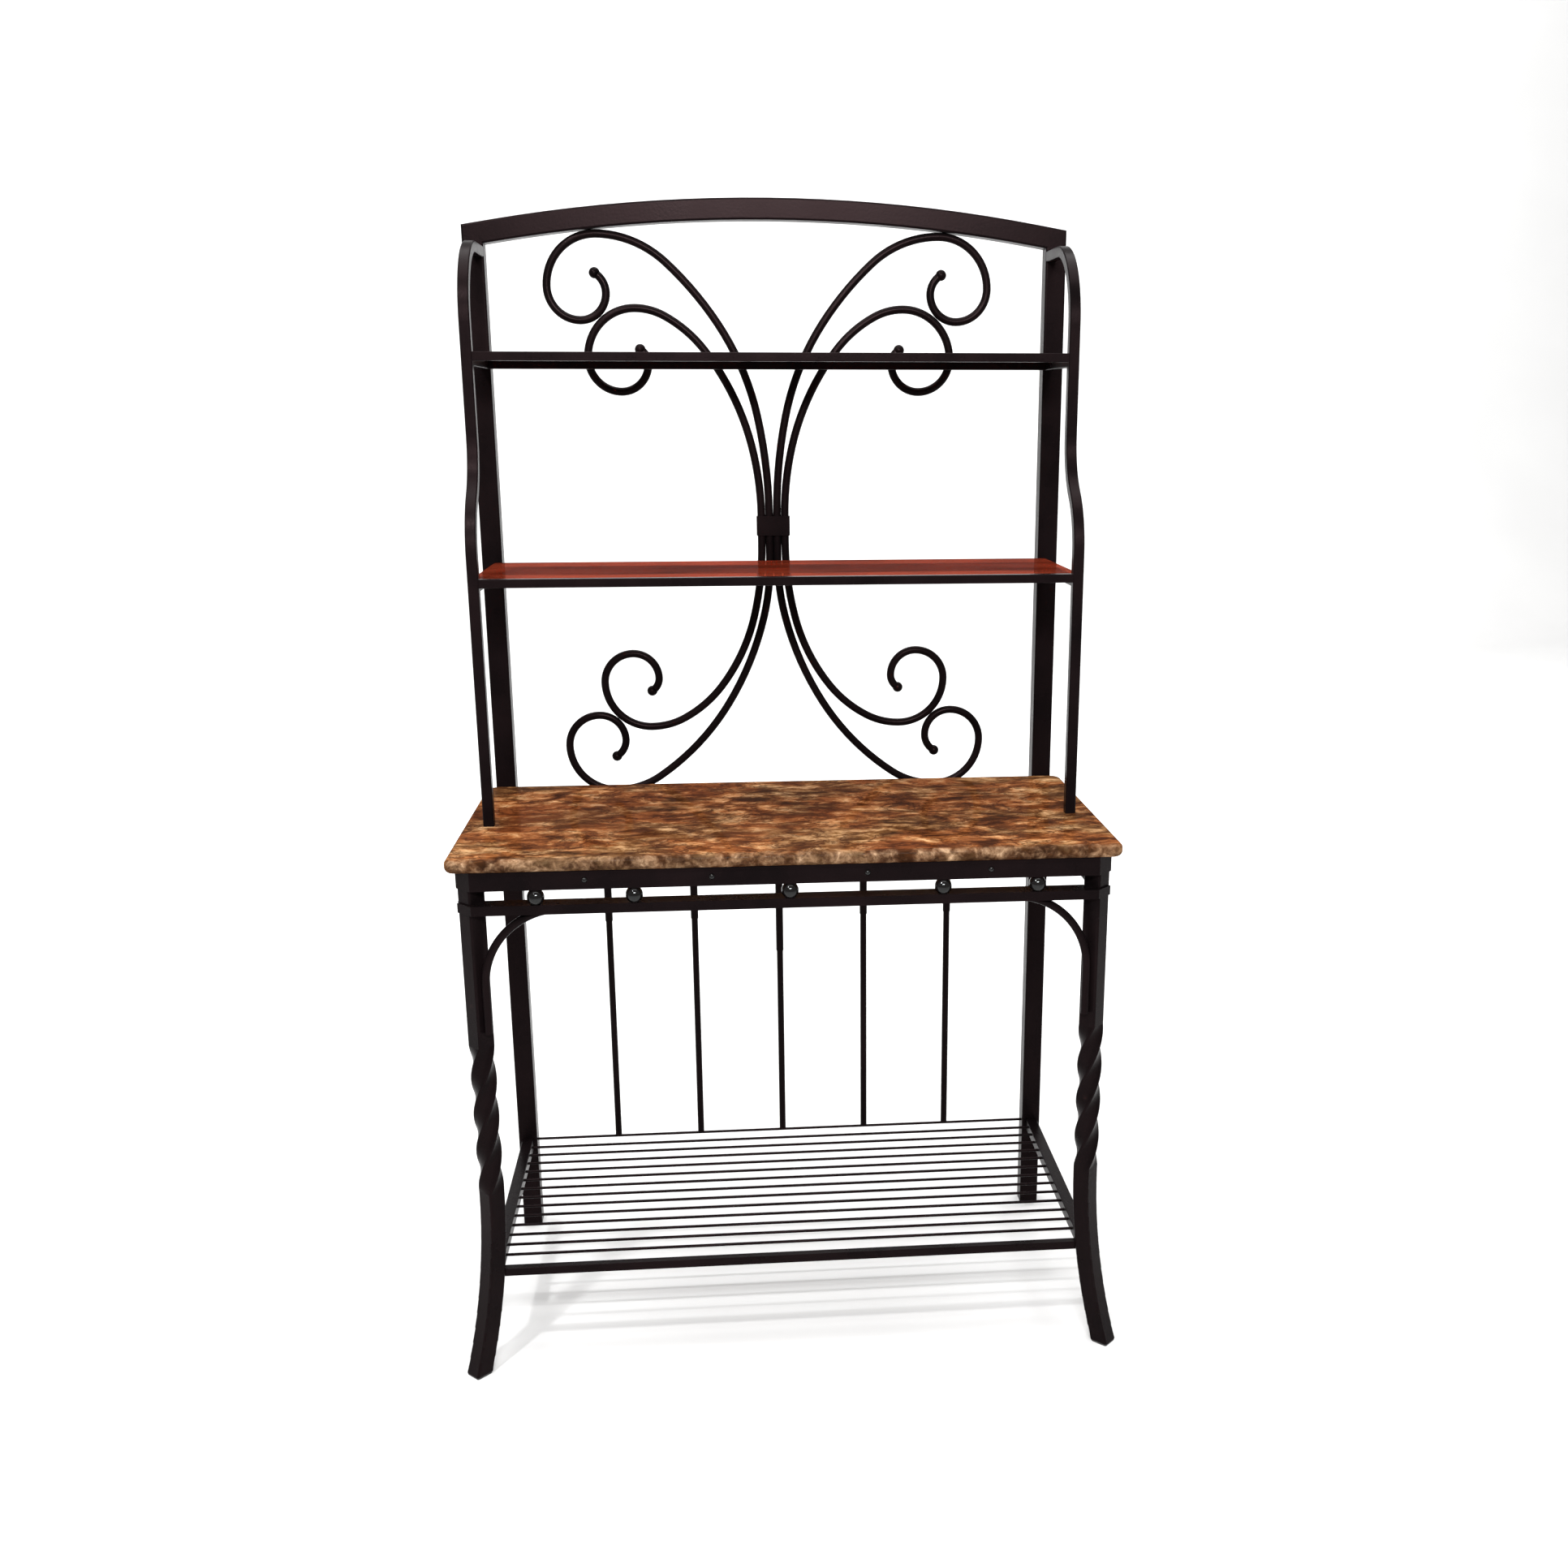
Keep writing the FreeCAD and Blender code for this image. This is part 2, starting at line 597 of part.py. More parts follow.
def braces():
    """Bent rods from the faces of the legs to the undersides of the lower rails' flanges."""
    radius = size("brace_size") / 2
    bend = size("brace_bend")
    low = size("brace_low_z")
    high = size("ring_top_z") - size("apron_wall") - radius
    # A rod touches a face of the leg where its two offsets add up to this reach.
    reach = (size("leg_size") / 2 + radius) * math.sqrt(2)
    outwards = size("apron_side_x") - size("apron_wall") - size("brace_play") - radius - size("leg_x")
    leg = Vector(-size("leg_x"), size("back_plane") - size("leg_depth"), 0)
    for label, foot, direction in (
            ("front_brace", Vector(reach / 2, -reach / 2, low), Vector(1, 0, 0)),
            ("side_brace", Vector(-outwards, reach - outwards, low), Vector(0, 1, 0))):
        runs = [("straight", high - bend - low), ("bend", bend, 90, direction),
                ("straight", size("brace_end"))]
        both_sides(label, bent_rod(radius, leg + foot, Vector(0, 0, 1), runs)[0])


# ---- upper front tubes and glass shelves -----------------------------------------------------

def upper_tubes():
    """Slim tubes that stand on the worktop, step back in a double bend and hook into the posts."""
    back = size("back_plane")
    low_y = back - size("tube_low_depth")
    high_y = back - size("tube_high_depth")
    bend = size("tube_bend")
    step = high_y - low_y
    # The two arcs of the double bend meet half way.
    turn = math.acos(1 - step / (2 * bend))
    slope = step / math.tan(turn)
    up = Vector(0, 0, 1)
    rear = Vector(0, 1, 0)
    degrees = math.degrees(turn)
    lean = up * math.cos(turn) + rear * math.sin(turn)
    tangent = bend * math.tan(turn / 2)
    first = size("tube_step_z") - slope / 2 - tangent - size("marble_top_z")
    second = size("tube_hook_z") - bend - size("tube_step_z") - slope / 2 - tangent
    runs = [("straight", first), ("bend", bend, degrees, rear),
            ("bend", bend, degrees, Vector(1, 0, 0).cross(lean)),
            ("straight", second), ("bend", bend, 90, rear),
            ("straight", size("tube_high_depth") - bend)]
    start = Vector(-size("tube_x"), low_y, size("marble_top_z"))
    section = chamfered_section(size("tube_size"), size("slim_round"))
    section.translate(start)
    both_sides("upper_tube", bent_bar(Part.Face(section), start, up, runs)[0])


RAIL_DROP = "(glass_thick + bumper_thick)"
SHELVES = (("top", "high_z", "tube_high_depth"), ("middle", "middle_z", "tube_low_depth"))


def shelf_rails():
    """A square front rail flush with the glass, and lower side and back rails that carry it."""
    for shelf, level, depth in SHELVES:
        front = square_bar(f"{shelf}_shelf_front_rail", "x", "rail_size", "rail_size",
                           "2 * tube_x - tube_size")
        place(front, y=f"back_plane - {depth}", z=f"{level} - rail_size / 2")
        low = f"{level} - {RAIL_DROP} - rail_size / 2"
        back = square_bar(f"{shelf}_shelf_back_rail", "x", "rail_size", "rail_size",
                          "2 * tube_x - rail_size")
        place(back, y="back_plane - rail_size / 2", z=low)
        for name, side in SIDES:
            rail = square_bar(f"{shelf}_shelf_rail_{name}", "y", "rail_size", "rail_size",
                              f"{depth} - tube_size / 2")
            place(rail, x=f"{side} * tube_x", z=low,
                  y=f"back_plane - ({depth} - tube_size / 2) / 2")


def glass_shelves():
    """Float glass panes with ground edges that lie loose inside the rails."""
    for shelf, level, depth in SHELVES:
        body = new_body(f"{shelf}_glass")
        width = "2 * (tube_x + rail_size / 2 - glass_side_gap)"
        length = f"({depth} - tube_size / 2 - 2 * glass_gap)"
        pane = pad(body, outline(body, "XY_Plane", rectangle(width, length)), "glass_thick")
        ground = body.newObject("PartDesign::Chamfer", "GroundEdge")
        ground.Base = (pane, [f"Edge{number}" for number, edge in enumerate(pane.Shape.Edges, start=1)
                              if edge.BoundBox.ZLength < 0.01])
        ground.setExpression("Size", bound("glass_edge"))
        place(body, y=f"back_plane - glass_gap - {length} / 2", z=f"{level} - glass_thick")


def glass_bumpers():
    """Clear discs between the glass and the rails, four under each pane."""
    for shelf, level, depth in SHELVES:
        discs = []
        side_x = size("tube_x") - size("bumper_inset")
        back_x = size("tube_x") * size("bumper_back_share")
        near = size("back_plane") - size(depth) * size("bumper_front_share")
        far = size("back_plane") - size("rail_size") / 2
        z = size(level) - size("glass_thick") - size("bumper_thick")
        for x, y in ((-side_x, near), (side_x, near), (-back_x, far), (back_x, far)):
            discs.append(Part.makeCylinder(size("bumper_size") / 2, size("bumper_thick"), Vector(x, y, z)))
        shaped(f"{shelf}_bumpers", Part.Compound(discs))


# ---- scrolled back panel ---------------------------------------------------------------------

def curl_reach(bends):
    """How far a curl runs out and along before it turns back, and the radius that follows."""
    angle = 0.0
    out = 0.0
    along = 0.0
    for radius, turn in bends:
        if angle > math.pi / 2 - 0.001:
            return out, along, radius
        last = angle + math.radians(turn)
        out += radius * (math.cos(angle) - math.cos(last))
        along += radius * (math.sin(last) - math.sin(angle))
        angle = last
    raise RuntimeError("a scroll does not turn back")


def lead_to_arch(place_x, bends):
    """Straight length above the collar that lets the curl touch the underside of the top rail."""
    out, along, radius = curl_reach(bends)
    outer = value_of(ARCH_RADIUS)
    clear = outer - size("post_size") - radius - size("rod_size") / 2
    top = size("apex_z") - outer + math.sqrt(clear ** 2 - (place_x + out) ** 2) + radius
    return top - size("collar_high_z") - along


def lead_to_apron(bends):
    """Straight length below the collar that lets the curl rest on the back angle iron."""
    out, along, radius = curl_reach(bends)
    rest = size("marble_top_z") - size("marble_thick") + size("rod_size") / 2
    return size("collar_low_z") - rest - along


def curl(point, vertical, lead, bends):
    """Half a scroll rod, from the collar to its tip, always curling towards -X."""
    heading = Vector(0, 0, vertical)
    towards = Vector(-1, 0, 0)
    runs = [("straight", lead)] if lead > 0 else []
    for bend, degrees in bends:
        runs.append(("bend", bend, degrees, towards))
        turn = FreeCAD.Rotation(heading.cross(towards), degrees)
        heading = turn.multVec(heading)
        towards = turn.multVec(towards)
    return bent_rod(size("rod_size") / 2, point, Vector(0, 0, vertical), runs)


def scroll_rod(label, place_x, high_bends, high_lead, low_bends, low_lead):
    """One rod that runs up and down out of the collar and curls outwards at both ends."""
    radius = size("rod_size") / 2
    y = size("back_plane") + size("post_size") / 2
    high = Vector(-place_x, y, size("collar_high_z"))
    low = Vector(-place_x, y, size("collar_low_z"))
    solids = [Part.makeCylinder(radius, high.z - low.z, low)]
    for start, vertical, bends, lead in ((high, 1, high_bends, high_lead), (low, -1, low_bends, low_lead)):
        rod, tip = curl(start, vertical, lead, bends)
        solids += [rod, Part.makeSphere(size("rod_tip") / 2, tip)]
    both_sides(label, solids[0].fuse(solids[1:]))


def back_scrolls():
    radius = size("rod_size") / 2
    high_lead = lead_to_arch(radius, OUTER_HIGH)
    low_lead = lead_to_apron(OUTER_LOW)
    scroll_rod("scroll_outer", radius, OUTER_HIGH, high_lead, OUTER_LOW, low_lead)
    scroll_rod("scroll_inner", 3 * radius, INNER_HIGH, 0, INNER_LOW, INNER_LOW_LEAD)


def scroll_collar():
    """A strip of steel closed round the four rods."""
    body = new_body("scroll_collar")
    across = rectangle("4 * rod_size + 2 * collar_wall", "rod_size + 2 * collar_wall")
    block = pad(body, outline(body, "XY_Plane", across), "collar_high_z - collar_low_z")
    round_edges(body, block, edges_along(block.Shape, Vector(0, 0, 1)), "collar_wall * 2")
    cut_through(body, outline(body, "XY_Plane", rectangle("4 * rod_size", "rod_size")), reverse=True)
    place(body, y="back_plane + post_size / 2", z="collar_low_z")


# ---- spindles and lower shelf ----------------------------------------------------------------

SPINDLE_LOW = "(shelf_top_z + wire_size)"


def spindles():
    """Five rods that stand on the wire behind the lower shelf, and the sockets they run up into."""
    bottom = value_of(SPINDLE_LOW)
    top = size("marble_top_z") - size("marble_thick") - size("apron_height")
    thin = size("spindle_size") / 2
    thick = size("socket_size") / 2
    sockets = []
    for number in range(5):
        foot = Vector((number - 2) * size("spindle_pitch"), size("back_plane") + size("post_size") / 2, 0)
        rod = doc.addObject("Part::Cylinder", f"Rod_{number + 1}")
        rod.setExpression("Radius", bound("spindle_size / 2"))
        rod.setExpression("Height", bound(f"marble_top_z - marble_thick - apron_height - {SPINDLE_LOW}"))
        place(rod, x=f"{number - 2} * spindle_pitch", y="back_plane + post_size / 2", z=SPINDLE_LOW)
        keep(rod, f"spindle_{number + 1}")
        low = size("long_socket_low_z") if number == 2 else size("socket_low_z")
        outer = Part.makeCylinder(thick, top - low, foot + Vector(0, 0, low))
        sockets.append(outer.cut(Part.makeCylinder(thin, top - bottom, foot + Vector(0, 0, bottom))))
    shaped("spindle_sockets", Part.Compound(sockets))


def lower_shelf():
    """A square bar bent to a U inside the legs, wires across it, and one wire between the posts."""
    half = size("shelf_bar") / 2
    back = size("back_plane")
    x = size("shelf_side_x")
    bend = size("shelf_corner")
    start = Vector(-x, back, size("shelf_top_z") - half)
    section = chamfered_section(size("shelf_bar"), size("bar_round"))
    section.rotate(Vector(0, 0, 0), Vector(1, 0, 0), 90)
    section.translate(start)
    side_run = ("straight", size("shelf_front_depth") - bend)
    runs = [side_run, ("bend", bend, 90, Vector(1, 0, 0)), ("straight", 2 * (x - bend)),
            ("bend", bend, 90, Vector(0, 1, 0)), side_run]
    shaped("lower_shelf_frame", bent_bar(Part.Face(section), start, Vector(0, -1, 0), runs)[0])

    radius = size("wire_size") / 2
    level = size("shelf_top_z") + radius
    inside = size("post_x") - size("post_size") / 2
    between = Vector(-inside, back + size("post_size") / 2, level)
    shaped("lower_shelf_back_bar", Part.makeCylinder(radius, 2 * inside, between, Vector(1, 0, 0)))

    reach = x + size("wire_over")
    wires = []
    for number in range(int(size("wire_count"))):
        y = back - size("wire_first") - number * size("wire_pitch")
        wires.append(Part.makeCylinder(radius, 2 * reach, Vector(-reach, y, level), Vector(1, 0, 0)))
    shaped("lower_shelf_wires", Part.Compound(wires))


def apron_screws():
    """Domed screws through the front apron."""
    head = size("screw_head") / 2
    rise = size("screw_rise")
    shank = size("screw_shank") / 2
    length = size("screw_length")
    ball = (head * head + rise * rise) / (2 * rise)
    half_way = math.asin(head / ball) / 2
    crown = Vector(ball * math.sin(half_way), ball - rise - ball * math.cos(half_way), 0)
    dome = Part.Arc(Vector(0, -rise, 0), crown, Vector(head, 0, 0)).toShape()
    corners = [Vector(head, 0, 0), Vector(shank, 0, 0), Vector(shank, length, 0),
               Vector(0, length, 0), Vector(0, -rise, 0)]
    sides = [Part.LineSegment(*pair).toShape() for pair in zip(corners, corners[1:])]
    screw = Part.Face(Part.Wire([dome] + sides)).revolve(Vector(0, 0, 0), Vector(0, 1, 0), 360)
    z = size("marble_top_z") - size("marble_thick") - size("apron_height") / 2
    screws = []
    for x in SCREW_SPOTS:
        copy = screw.copy()
        copy.translate(Vector(value_of(x), size("back_plane") - size("apron_front_depth"), z))
        screws.append(copy)
    shaped("apron_screws", Part.Compound(screws))


def check_and_export():
    doc.recompute()
    for item in doc.Objects:
        if "Invalid" in item.State or "Error" in item.State:
            raise RuntimeError(f"{item.Name} failed: {item.State}")
    os.makedirs("parts", exist_ok=True)
    total = None
    for piece in pieces:
        shape = piece.Shape
        if shape.isNull() or not shape.isValid() or shape.Volume <= 0:
            raise RuntimeError(f"{piece.Label} has no valid solid")
        shape.exportStep(os.path.join("parts", piece.Label + ".step"))
        box = shape.BoundBox
        total = box if total is None else total.united(box)
        print(f"{piece.Label}: {len(shape.Solids)} solids, {shape.Volume / 1000:.1f} cm3, "
              f"z {box.ZMin:.1f} to {box.ZMax:.1f}")
    print(f"whole: x {total.XMin:.2f} to {total.XMax:.2f}, y {total.YMin:.2f} to {total.YMax:.2f}, "
          f"z {total.ZMin:.2f} to {total.ZMax:.2f}")


rear_posts()
top_arch()
front_legs()
foot_glides()
marble_top()
apron_front()
side_and_back_aprons()
ring_rails()
ring_balls()
braces()
upper_tubes()
shelf_rails()
glass_shelves()
glass_bumpers()
back_scrolls()
scroll_collar()
spindles()
lower_shelf()
apron_screws()
check_and_export()
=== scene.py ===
import json
import math

import bmesh
import bpy
from mathutils import Matrix, Vector


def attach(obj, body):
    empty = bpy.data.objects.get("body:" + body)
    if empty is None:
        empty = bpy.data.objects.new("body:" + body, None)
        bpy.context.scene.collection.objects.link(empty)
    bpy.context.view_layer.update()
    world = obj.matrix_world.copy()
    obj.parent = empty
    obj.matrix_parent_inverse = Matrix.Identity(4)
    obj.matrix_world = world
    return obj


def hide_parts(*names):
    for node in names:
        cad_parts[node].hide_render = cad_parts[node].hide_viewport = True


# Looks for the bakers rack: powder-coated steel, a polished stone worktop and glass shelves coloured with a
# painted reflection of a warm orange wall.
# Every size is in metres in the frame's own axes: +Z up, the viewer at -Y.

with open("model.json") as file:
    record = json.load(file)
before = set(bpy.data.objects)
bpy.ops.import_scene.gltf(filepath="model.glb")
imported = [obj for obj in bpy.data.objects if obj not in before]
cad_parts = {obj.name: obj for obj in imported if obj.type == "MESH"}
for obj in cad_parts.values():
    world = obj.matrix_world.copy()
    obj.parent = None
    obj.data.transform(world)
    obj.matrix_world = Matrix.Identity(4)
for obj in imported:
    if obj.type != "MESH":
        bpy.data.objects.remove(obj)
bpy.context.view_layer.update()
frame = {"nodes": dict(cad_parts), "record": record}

# The photograph's camera, fitted to the rack's straight edges. Angles are in radians.
PHOTO_PIXELS = 1932
FOCAL_PIXELS = 1962
PRINCIPAL_PIXEL = (1071.5, 1049.5)
CAMERA_PLACE = Vector((-0.0913, -2.4065, 1.4103))
CAMERA_YAW = 0.0939
CAMERA_PITCH = 0.2696
SENSOR_MM = 36.0

# The sockets of a colour Mix node, which share their names with those of its other data types.
MIX_FACTOR = 0
MIX_FIRST = 6
MIX_SECOND = 7
MIX_RESULT = 2

# Powder coats: the dark tone and the lighter reddish tone of their mottling, the lighter one being a painted
# glint;
# roughness from smooth to dull spots, the strength and tint of their reflection, and the height of their
# orange peel.
SEMI_GLOSS_COAT = {
    "dark": (0.0028, 0.0021, 0.0023),
    "light": (0.0062, 0.0037, 0.0040),
    "roughness": (0.24, 0.34),
    "gloss": 0.045,
    "gloss_tint": (1.0, 0.66, 0.68),
    "peel_height": 0.0006,
}
GLOSSY_COAT = {
    "dark": (0.003, 0.0025, 0.0025),
    "light": (0.005, 0.004, 0.004),
    "roughness": (0.06, 0.10),
    "gloss": 0.3,
    "gloss_tint": (0.95, 1.0, 1.0),
    "peel_height": 0.0001,
}
RUBBED_BROWN = (0.025, 0.012, 0.011)

# The stone's tones, each from its level in the noise that spreads it. Their orange is partly the marble's
# own colour and partly a painted reflection of a warm orange wall, since the stone is given no specular
# reflection of its own.
RED_PATCHES = [
    (0.36, (0.030, 0.009, 0.003)), (0.40, (0.075, 0.023, 0.007)), (0.455, (0.115, 0.036, 0.011)),
    (0.475, (0.170, 0.056, 0.017)), (0.535, (0.205, 0.072, 0.023)), (0.555, (0.30, 0.125, 0.046)),
    (0.61, (0.38, 0.180, 0.072)), (0.70, (0.56, 0.330, 0.16)),
]
OLIVE_PATCHES = [
    (0.38, (0.026, 0.012, 0.005)), (0.47, (0.085, 0.042, 0.016)), (0.53, (0.17, 0.090, 0.036)),
    (0.66, (0.42, 0.26, 0.13)),
]
EDGE_FLAKES = [
    (0.40, (0.017, 0.008, 0.004)), (0.47, (0.047, 0.024, 0.013)), (0.53, (0.102, 0.057, 0.031)),
    (0.60, (0.205, 0.123, 0.070)), (0.68, (0.42, 0.28, 0.17)),
]
WARM_BROWN = (0.150, 0.036, 0.010)
VEIN_BROWN = (0.024, 0.007, 0.003)
GRAIN_BROWN = (0.045, 0.016, 0.006)
EDGE_START = 0.229
EDGE_FULL = 0.237

# The glass's orange-brown is a painted reflection of a warm orange wall, set as the glass's own colour.
GLASS_PAINTED_REFLECTION = [(0.35, (0.145, 0.023, 0.0105)), (0.58, (0.30, 0.048, 0.022))]

# The studio: the floor's half width, its run to the wall, and the wall's height and bend radius.
FLOOR_HALF = 9.0
FLOOR_RUN = 9.0
WALL_HEIGHT = 6.0
WALL_BEND = 2.0
BEND_STEPS = 16

WORLD_COLOUR = (1.0, 0.99, 0.97)
WORLD_STRENGTH = 0.4

# Soft lights: place, target, width and depth, watts.
LIGHTS = {
    "overhead": ((0, 0.4, 5.0), (0, 0.4, 0), (5.0, 4.0), 310),
    "front_top": ((0.1, -2.7, 2.35), (0, 0, 1.6), (1.3, 0.4), 110),
    "key": ((-1.2, -1.8, 3.2), (0, 0, 0.9), (0.14, 0.14), 50),
    "backdrop": ((0, 2.2, 5.6), (0, 8.8, 2.2), (9.0, 1.5), 900),
}


# ---- node helpers ----------------------------------------------------------------------------

class Graph:
    """A material's nodes, with one call per node."""

    def __init__(self, name):
        self.material = bpy.data.materials.new(name)
        self.material.use_nodes = True
        self.nodes = self.material.node_tree.nodes
        self.links = self.material.node_tree.links
        self.shader = self.nodes["Principled BSDF"]

    def set(self, socket, value):
        if isinstance(value, bpy.types.NodeSocket):
            self.links.new(value, socket)
        else:
            socket.default_value = value

    def add(self, kind, inputs, **settings):
        """A node with its settings, and a value or a link for each named or numbered input."""
        node = self.nodes.new(kind)
        for name, value in settings.items():
            setattr(node, name, value)
        for name, value in inputs.items():
            self.set(node.inputs[name], value)
        return node

    def surface(self, **inputs):
        """Inputs of the material's own shader, with _ for each space in their names."""
        for name, value in inputs.items():
            self.set(self.shader.inputs[name.replace("_", " ")], value)

    def place(self, scale=(1, 1, 1)):
        """Object coordinates, which are the frame's metres, scaled."""
        coordinates = self.add("ShaderNodeTexCoord", {}).outputs["Object"]
        return self.add("ShaderNodeMapping", {"Vector": coordinates, "Scale": scale}).outputs["Vector"]

    def noise(self, vector, scale, detail, roughness=0.5, distortion=0.0, output="Fac"):
        node = self.add("ShaderNodeTexNoise", {"Vector": vector, "Scale": scale, "Detail": detail,
                                               "Roughness": roughness, "Distortion": distortion})
        return node.outputs[output]

    def ramp(self, factor, stops):
        """A colour ramp from (level, colour) stops."""
        node = self.add("ShaderNodeValToRGB", {"Fac": factor})
        ramp = node.color_ramp
        while len(ramp.elements) < len(stops):
            ramp.elements.new(0.5)
        for element, (level, colour) in zip(ramp.elements, stops):
            element.position = level
            element.color = (*colour, 1)
        return node.outputs["Color"]

    def greys(self, factor, stops):
        """A ramp of plain values from (level, value) stops."""
        return self.ramp(factor, [(level, (value, value, value)) for level, value in stops])

    def mix(self, factor, first, second):
        node = self.add("ShaderNodeMix", {}, data_type="RGBA")
        self.set(node.inputs[MIX_FACTOR], factor)
        self.set(node.inputs[MIX_FIRST], first)
        self.set(node.inputs[MIX_SECOND], second)
        return node.outputs[MIX_RESULT]

    def over(self, share, below, colour):
        """A plain colour laid over another by its share."""
        return self.mix(share, below, (*colour, 1))

    def maths(self, operation, first, second=0.0):
        return self.add("ShaderNodeMath", {0: first, 1: second}, operation=operation).outputs[0]

    def pushed(self, vector, push, amount):
        """A vector moved by an amount of another one."""
        step = self.add("ShaderNodeVectorMath", {0: push, "Scale": amount}, operation="SCALE")
        moved = self.add("ShaderNodeVectorMath", {0: vector, 1: step.outputs["Vector"]}, operation="ADD")
        return moved.outputs["Vector"]

    def bump(self, height, strength, distance):
        node = self.add("ShaderNodeBump", {"Height": height, "Strength": strength, "Distance": distance})
        return node.outputs["Normal"]


# ---- materials -------------------------------------------------------------------------------

def powder_coat(name, dark, light, roughness, gloss, gloss_tint, peel_height):
    """Powder coat: a fine orange-peel skin, faint brown blotches that carry a painted glint, and rubbed
    spots.
    """
    g = Graph(name)
    place = g.place()
    glint_blotches = g.noise(place, scale=9.0, detail=5.0, roughness=0.6)
    rubbed = g.noise(place, scale=38.0, detail=6.0, roughness=0.7)
    fine = g.noise(place, scale=900.0, detail=2.0)
    peel = g.noise(place, scale=260.0, detail=2.0)
    # Painted glint: the lighter reddish tone is laid into the colour in large blotches; the same blotches
    # also vary the roughness.
    colour = g.mix(g.greys(glint_blotches, [(0.35, 0.0), (0.7, 1.0)]), (*dark, 1), (*light, 1))
    colour = g.over(g.greys(rubbed, [(0.68, 0.0), (0.76, 0.4)]), colour, RUBBED_BROWN)
    smooth, dull = roughness
    fine_share = 0.35
    skin = g.mix(fine_share, peel, fine)
    g.surface(Base_Color=colour, Roughness=g.greys(glint_blotches, [(0.3, smooth), (0.75, dull)]),
              Normal=g.bump(skin, strength=0.25, distance=peel_height),
              Specular_IOR_Level=gloss, Specular_Tint=(*gloss_tint, 1))
    return g.material


def worktop_face(g, flow, grain, vein):
    """Red, olive and warm brown patches, crossed by dark veins and speckled with grain."""
    patches = g.noise(flow, scale=22.0, detail=9.0, roughness=0.62, distortion=0.2)
    olive = g.noise(g.place(scale=(1, 1.5, 1.5)), scale=8.0, detail=5.0, roughness=0.6)
    warm = g.noise(g.place(scale=(1, 1.6, 1.6)), scale=3.4, detail=3.0)
    colour = g.ramp(patches, RED_PATCHES)
    colour = g.mix(g.greys(olive, [(0.47, 0.0), (0.56, 0.75)]), colour, g.ramp(patches, OLIVE_PATCHES))
    colour = g.over(g.greys(warm, [(0.46, 0.0), (0.66, 0.45)]), colour, WARM_BROWN)
    colour = g.over(g.greys(vein, [(0.0, 0.85), (0.012, 0.5), (0.035, 0.0)]), colour, VEIN_BROWN)
    return g.over(g.greys(grain, [(0.38, 0.6), (0.54, 0.0)]), colour, GRAIN_BROWN)


def polished_stone():
    """Brown marble: tan and orange-brown patches with dark veins, greyer flakes on its front edge; the
    orange is partly a painted reflection of a warm wall.
    """
    g = Graph("red_brown_marble")
    drift = g.noise(g.place(scale=(1, 1.4, 1.4)), scale=6.0, detail=4.0, roughness=0.6, output="Color")
    flow = g.pushed(g.place(scale=(1, 1.7, 1.7)), drift, amount=0.10)
    ridge = g.noise(flow, scale=9.0, detail=8.0, roughness=0.65, distortion=0.4)
    vein = g.maths("ABSOLUTE", g.maths("SUBTRACT", ridge, 0.5))
    grain = g.noise(flow, scale=110.0, detail=7.0, roughness=0.72)
    flakes = g.noise(g.place(), scale=52.0, detail=9.0, roughness=0.62, distortion=0.3)
    depth = g.add("ShaderNodeSeparateXYZ", {"Vector": g.place()}).outputs["Y"]
    rim = g.greys(g.maths("MULTIPLY", depth, -1.0), [(EDGE_START, 0.0), (EDGE_FULL, 0.85)])
    colour = g.mix(rim, worktop_face(g, flow, grain, vein), g.ramp(flakes, EDGE_FLAKES))
    g.surface(Base_Color=colour, Roughness=g.greys(grain, [(0.3, 0.20), (0.7, 0.12)]),
              Normal=g.bump(g.maths("ADD", grain, vein), strength=0.04, distance=0.0004),
              Specular_IOR_Level=0.0, Coat_Weight=0.02, Coat_Roughness=0.05)
    return g.material


def glass_with_painted_reflection():
    """Glass coloured orange-brown by a painted reflection of a warm wall, with faint smears and cloudier
    streaks.
    """
    g = Graph("glass_with_painted_reflection")
    smear = g.noise(g.place(scale=(1, 3, 1)), scale=5.0, detail=4.0, roughness=0.6)
    # Painted reflection: the orange-brown colour stands in for a reflected warm wall; with IOR 1.001 and no
    # specular the glass reflects almost nothing itself.
    g.surface(Base_Color=g.ramp(smear, GLASS_PAINTED_REFLECTION),
              Roughness=g.greys(smear, [(0.4, 0.02), (0.75, 0.09)]),
              Normal=g.bump(smear, strength=0.02, distance=0.0004),
              IOR=1.001, Transmission_Weight=0.7, Specular_IOR_Level=0.0,
              Coat_Weight=0.022, Coat_Roughness=0.03)
    return g.material


def clear_plastic():
    """Soft clear bumpers, slightly cloudy."""
    g = Graph("clear_bumper")
    cloud = g.noise(g.place(), scale=300.0, detail=3.0)
    g.surface(Base_Color=g.greys(cloud, [(0.3, 0.72), (0.7, 0.9)]),
              Roughness=g.greys(cloud, [(0.3, 0.15), (0.7, 0.35)]),
              IOR=1.45, Transmission_Weight=0.6)
    return g.material


def black_nylon():
    """Moulded glides with a scuffed grain."""
    g = Graph("black_nylon")
    grain = g.noise(g.place(), scale=500.0, detail=4.0, roughness=0.6)
    g.surface(Base_Color=g.greys(grain, [(0.3, 0.012), (0.75, 0.05)]),
              Roughness=g.greys(grain, [(0.3, 0.45), (0.7, 0.7)]),
              Normal=g.bump(grain, strength=0.3, distance=0.0004))
    return g.material


